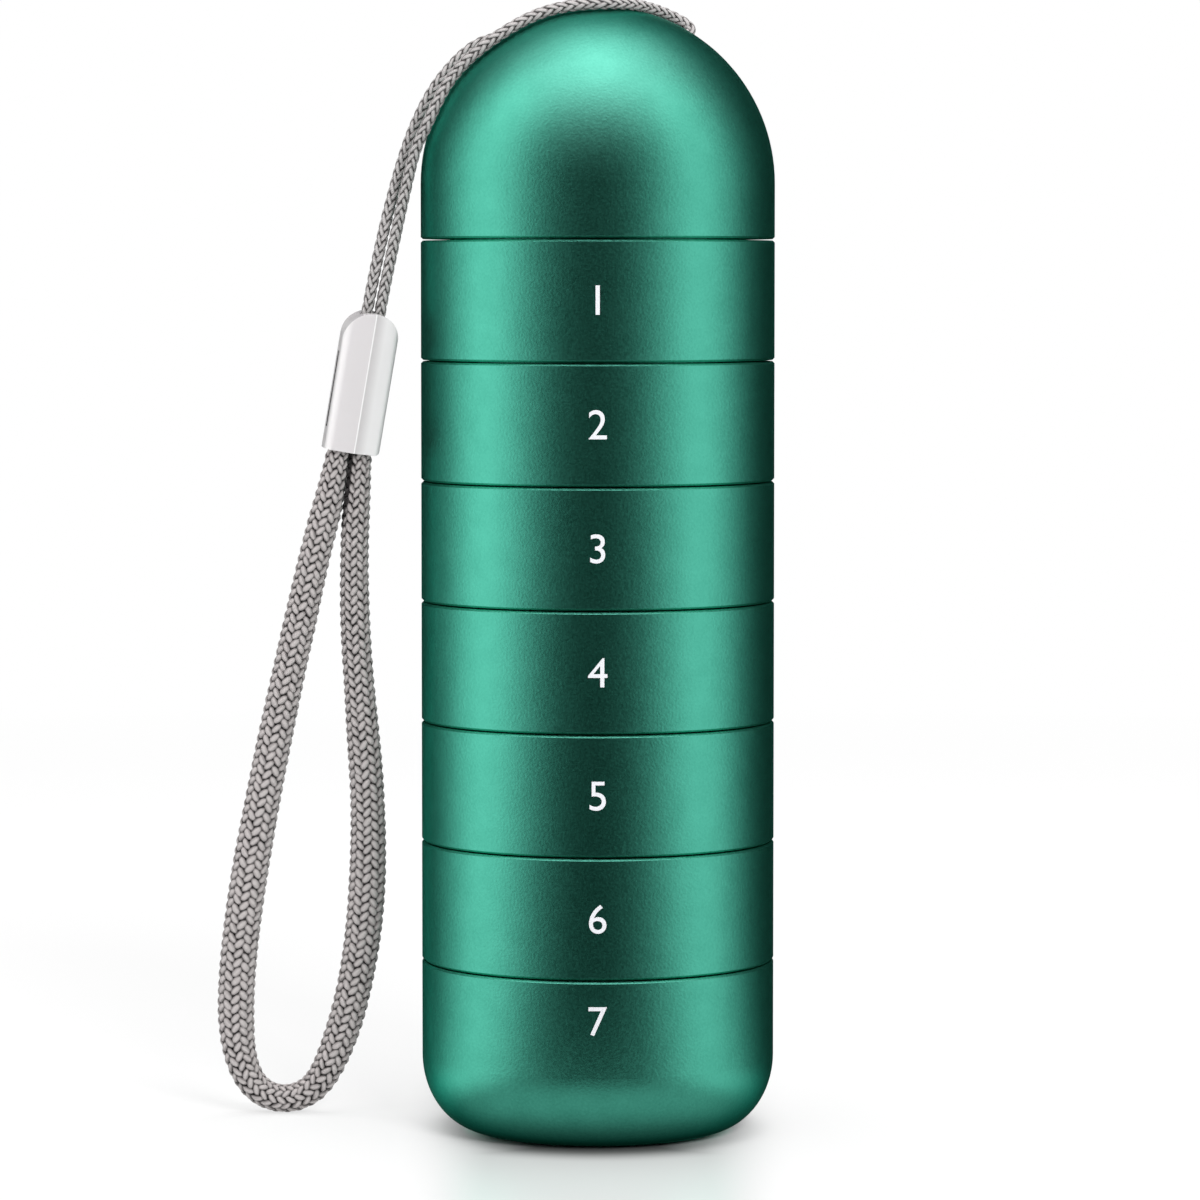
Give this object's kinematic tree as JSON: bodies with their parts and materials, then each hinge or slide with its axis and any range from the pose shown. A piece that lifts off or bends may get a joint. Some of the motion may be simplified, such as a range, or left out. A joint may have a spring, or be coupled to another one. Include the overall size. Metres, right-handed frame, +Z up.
{
  "type": "weekly pill organizer",
  "caption": "Capsule-shaped metal pill case: screw cups stacked under a domed cap, one sealed compartment each, with a braided wrist lanyard held by a clip.",
  "frame": {"origin": "centre of the flat foot of the base cup", "axes": "+Z up the stack, -Y towards the numbered front, lanyard on the -X side"},
  "size_m": [0.0558, 0.035, 0.112],
  "materials": {
    "anodised_metal": "matte green anodised, bead blasted",
    "seal_rubber": "pale silicone",
    "string_braid": "grey braided thread",
    "cord_braid": "grey tubular braid",
    "clip_plastic": "pale gloss moulding",
    "crimp_steel": "plain"
  },
  "bodies": {
    "base": {"base_cup": "anodised_metal"},
    "day_6_ring": {"day_6_seal": "seal_rubber"},
    "day_6": {"day_6_cup": "anodised_metal"},
    "day_5_ring": {"day_5_seal": "seal_rubber"},
    "day_5": {"day_5_cup": "anodised_metal"},
    "day_4_ring": {"day_4_seal": "seal_rubber"},
    "day_4": {"day_4_cup": "anodised_metal"},
    "day_3_ring": {"day_3_seal": "seal_rubber"},
    "day_3": {"day_3_cup": "anodised_metal"},
    "day_2_ring": {"day_2_seal": "seal_rubber"},
    "day_2": {"day_2_cup": "anodised_metal"},
    "day_1_ring": {"day_1_seal": "seal_rubber"},
    "day_1": {"day_1_cup": "anodised_metal"},
    "cap_ring": {"cap_seal": "seal_rubber"},
    "cap": {"dome_cap": "anodised_metal", "string_loop": "string_braid", "wrist_cord": "cord_braid", "clip_front_shell": "clip_plastic", "clip_back_shell": "clip_plastic", "cord_crimp": "crimp_steel"}
  },
  "joints": [
    {"name": "day_6_lift", "type": "slide", "parent": "base", "child": "day_6_ring", "axis": [0, 0, 1], "range_m": [0, 0.0075]},
    {"name": "day_6_unscrew", "type": "hinge", "parent": "day_6_ring", "child": "day_6", "pos_m": [0, 0, 0.017], "axis": [0, 0, 1], "range_deg": [0, 1080]},
    {"name": "day_5_lift", "type": "slide", "parent": "day_6", "child": "day_5_ring", "axis": [0, 0, 1], "range_m": [0, 0.0075]},
    {"name": "day_5_unscrew", "type": "hinge", "parent": "day_5_ring", "child": "day_5", "pos_m": [0, 0, 0.0289], "axis": [0, 0, 1], "range_deg": [0, 1080]},
    {"name": "day_4_lift", "type": "slide", "parent": "day_5", "child": "day_4_ring", "axis": [0, 0, 1], "range_m": [0, 0.0075]},
    {"name": "day_4_unscrew", "type": "hinge", "parent": "day_4_ring", "child": "day_4", "pos_m": [0, 0, 0.0408], "axis": [0, 0, 1], "range_deg": [0, 1080]},
    {"name": "day_3_lift", "type": "slide", "parent": "day_4", "child": "day_3_ring", "axis": [0, 0, 1], "range_m": [0, 0.0075]},
    {"name": "day_3_unscrew", "type": "hinge", "parent": "day_3_ring", "child": "day_3", "pos_m": [0, 0, 0.0527], "axis": [0, 0, 1], "range_deg": [0, 1080]},
    {"name": "day_2_lift", "type": "slide", "parent": "day_3", "child": "day_2_ring", "axis": [0, 0, 1], "range_m": [0, 0.0075]},
    {"name": "day_2_unscrew", "type": "hinge", "parent": "day_2_ring", "child": "day_2", "pos_m": [0, 0, 0.0646], "axis": [0, 0, 1], "range_deg": [0, 1080]},
    {"name": "day_1_lift", "type": "slide", "parent": "day_2", "child": "day_1_ring", "axis": [0, 0, 1], "range_m": [0, 0.0075]},
    {"name": "day_1_unscrew", "type": "hinge", "parent": "day_1_ring", "child": "day_1", "pos_m": [0, 0, 0.0765], "axis": [0, 0, 1], "range_deg": [0, 1080]},
    {"name": "cap_lift", "type": "slide", "parent": "day_1", "child": "cap_ring", "axis": [0, 0, 1], "range_m": [0, 0.0075]},
    {"name": "cap_unscrew", "type": "hinge", "parent": "cap_ring", "child": "cap", "pos_m": [0, 0, 0.0884], "axis": [0, 0, 1], "range_deg": [0, 1080]}
  ],
  "couplings": [
    {"joint": "day_6_lift", "follows": "day_6_unscrew", "m_per_rad": 0.00039789},
    {"joint": "day_5_lift", "follows": "day_5_unscrew", "m_per_rad": 0.00039789},
    {"joint": "day_4_lift", "follows": "day_4_unscrew", "m_per_rad": 0.00039789},
    {"joint": "day_3_lift", "follows": "day_3_unscrew", "m_per_rad": 0.00039789},
    {"joint": "day_2_lift", "follows": "day_2_unscrew", "m_per_rad": 0.00039789},
    {"joint": "day_1_lift", "follows": "day_1_unscrew", "m_per_rad": 0.00039789},
    {"joint": "cap_lift", "follows": "cap_unscrew", "m_per_rad": 0.00039789}
  ]
}
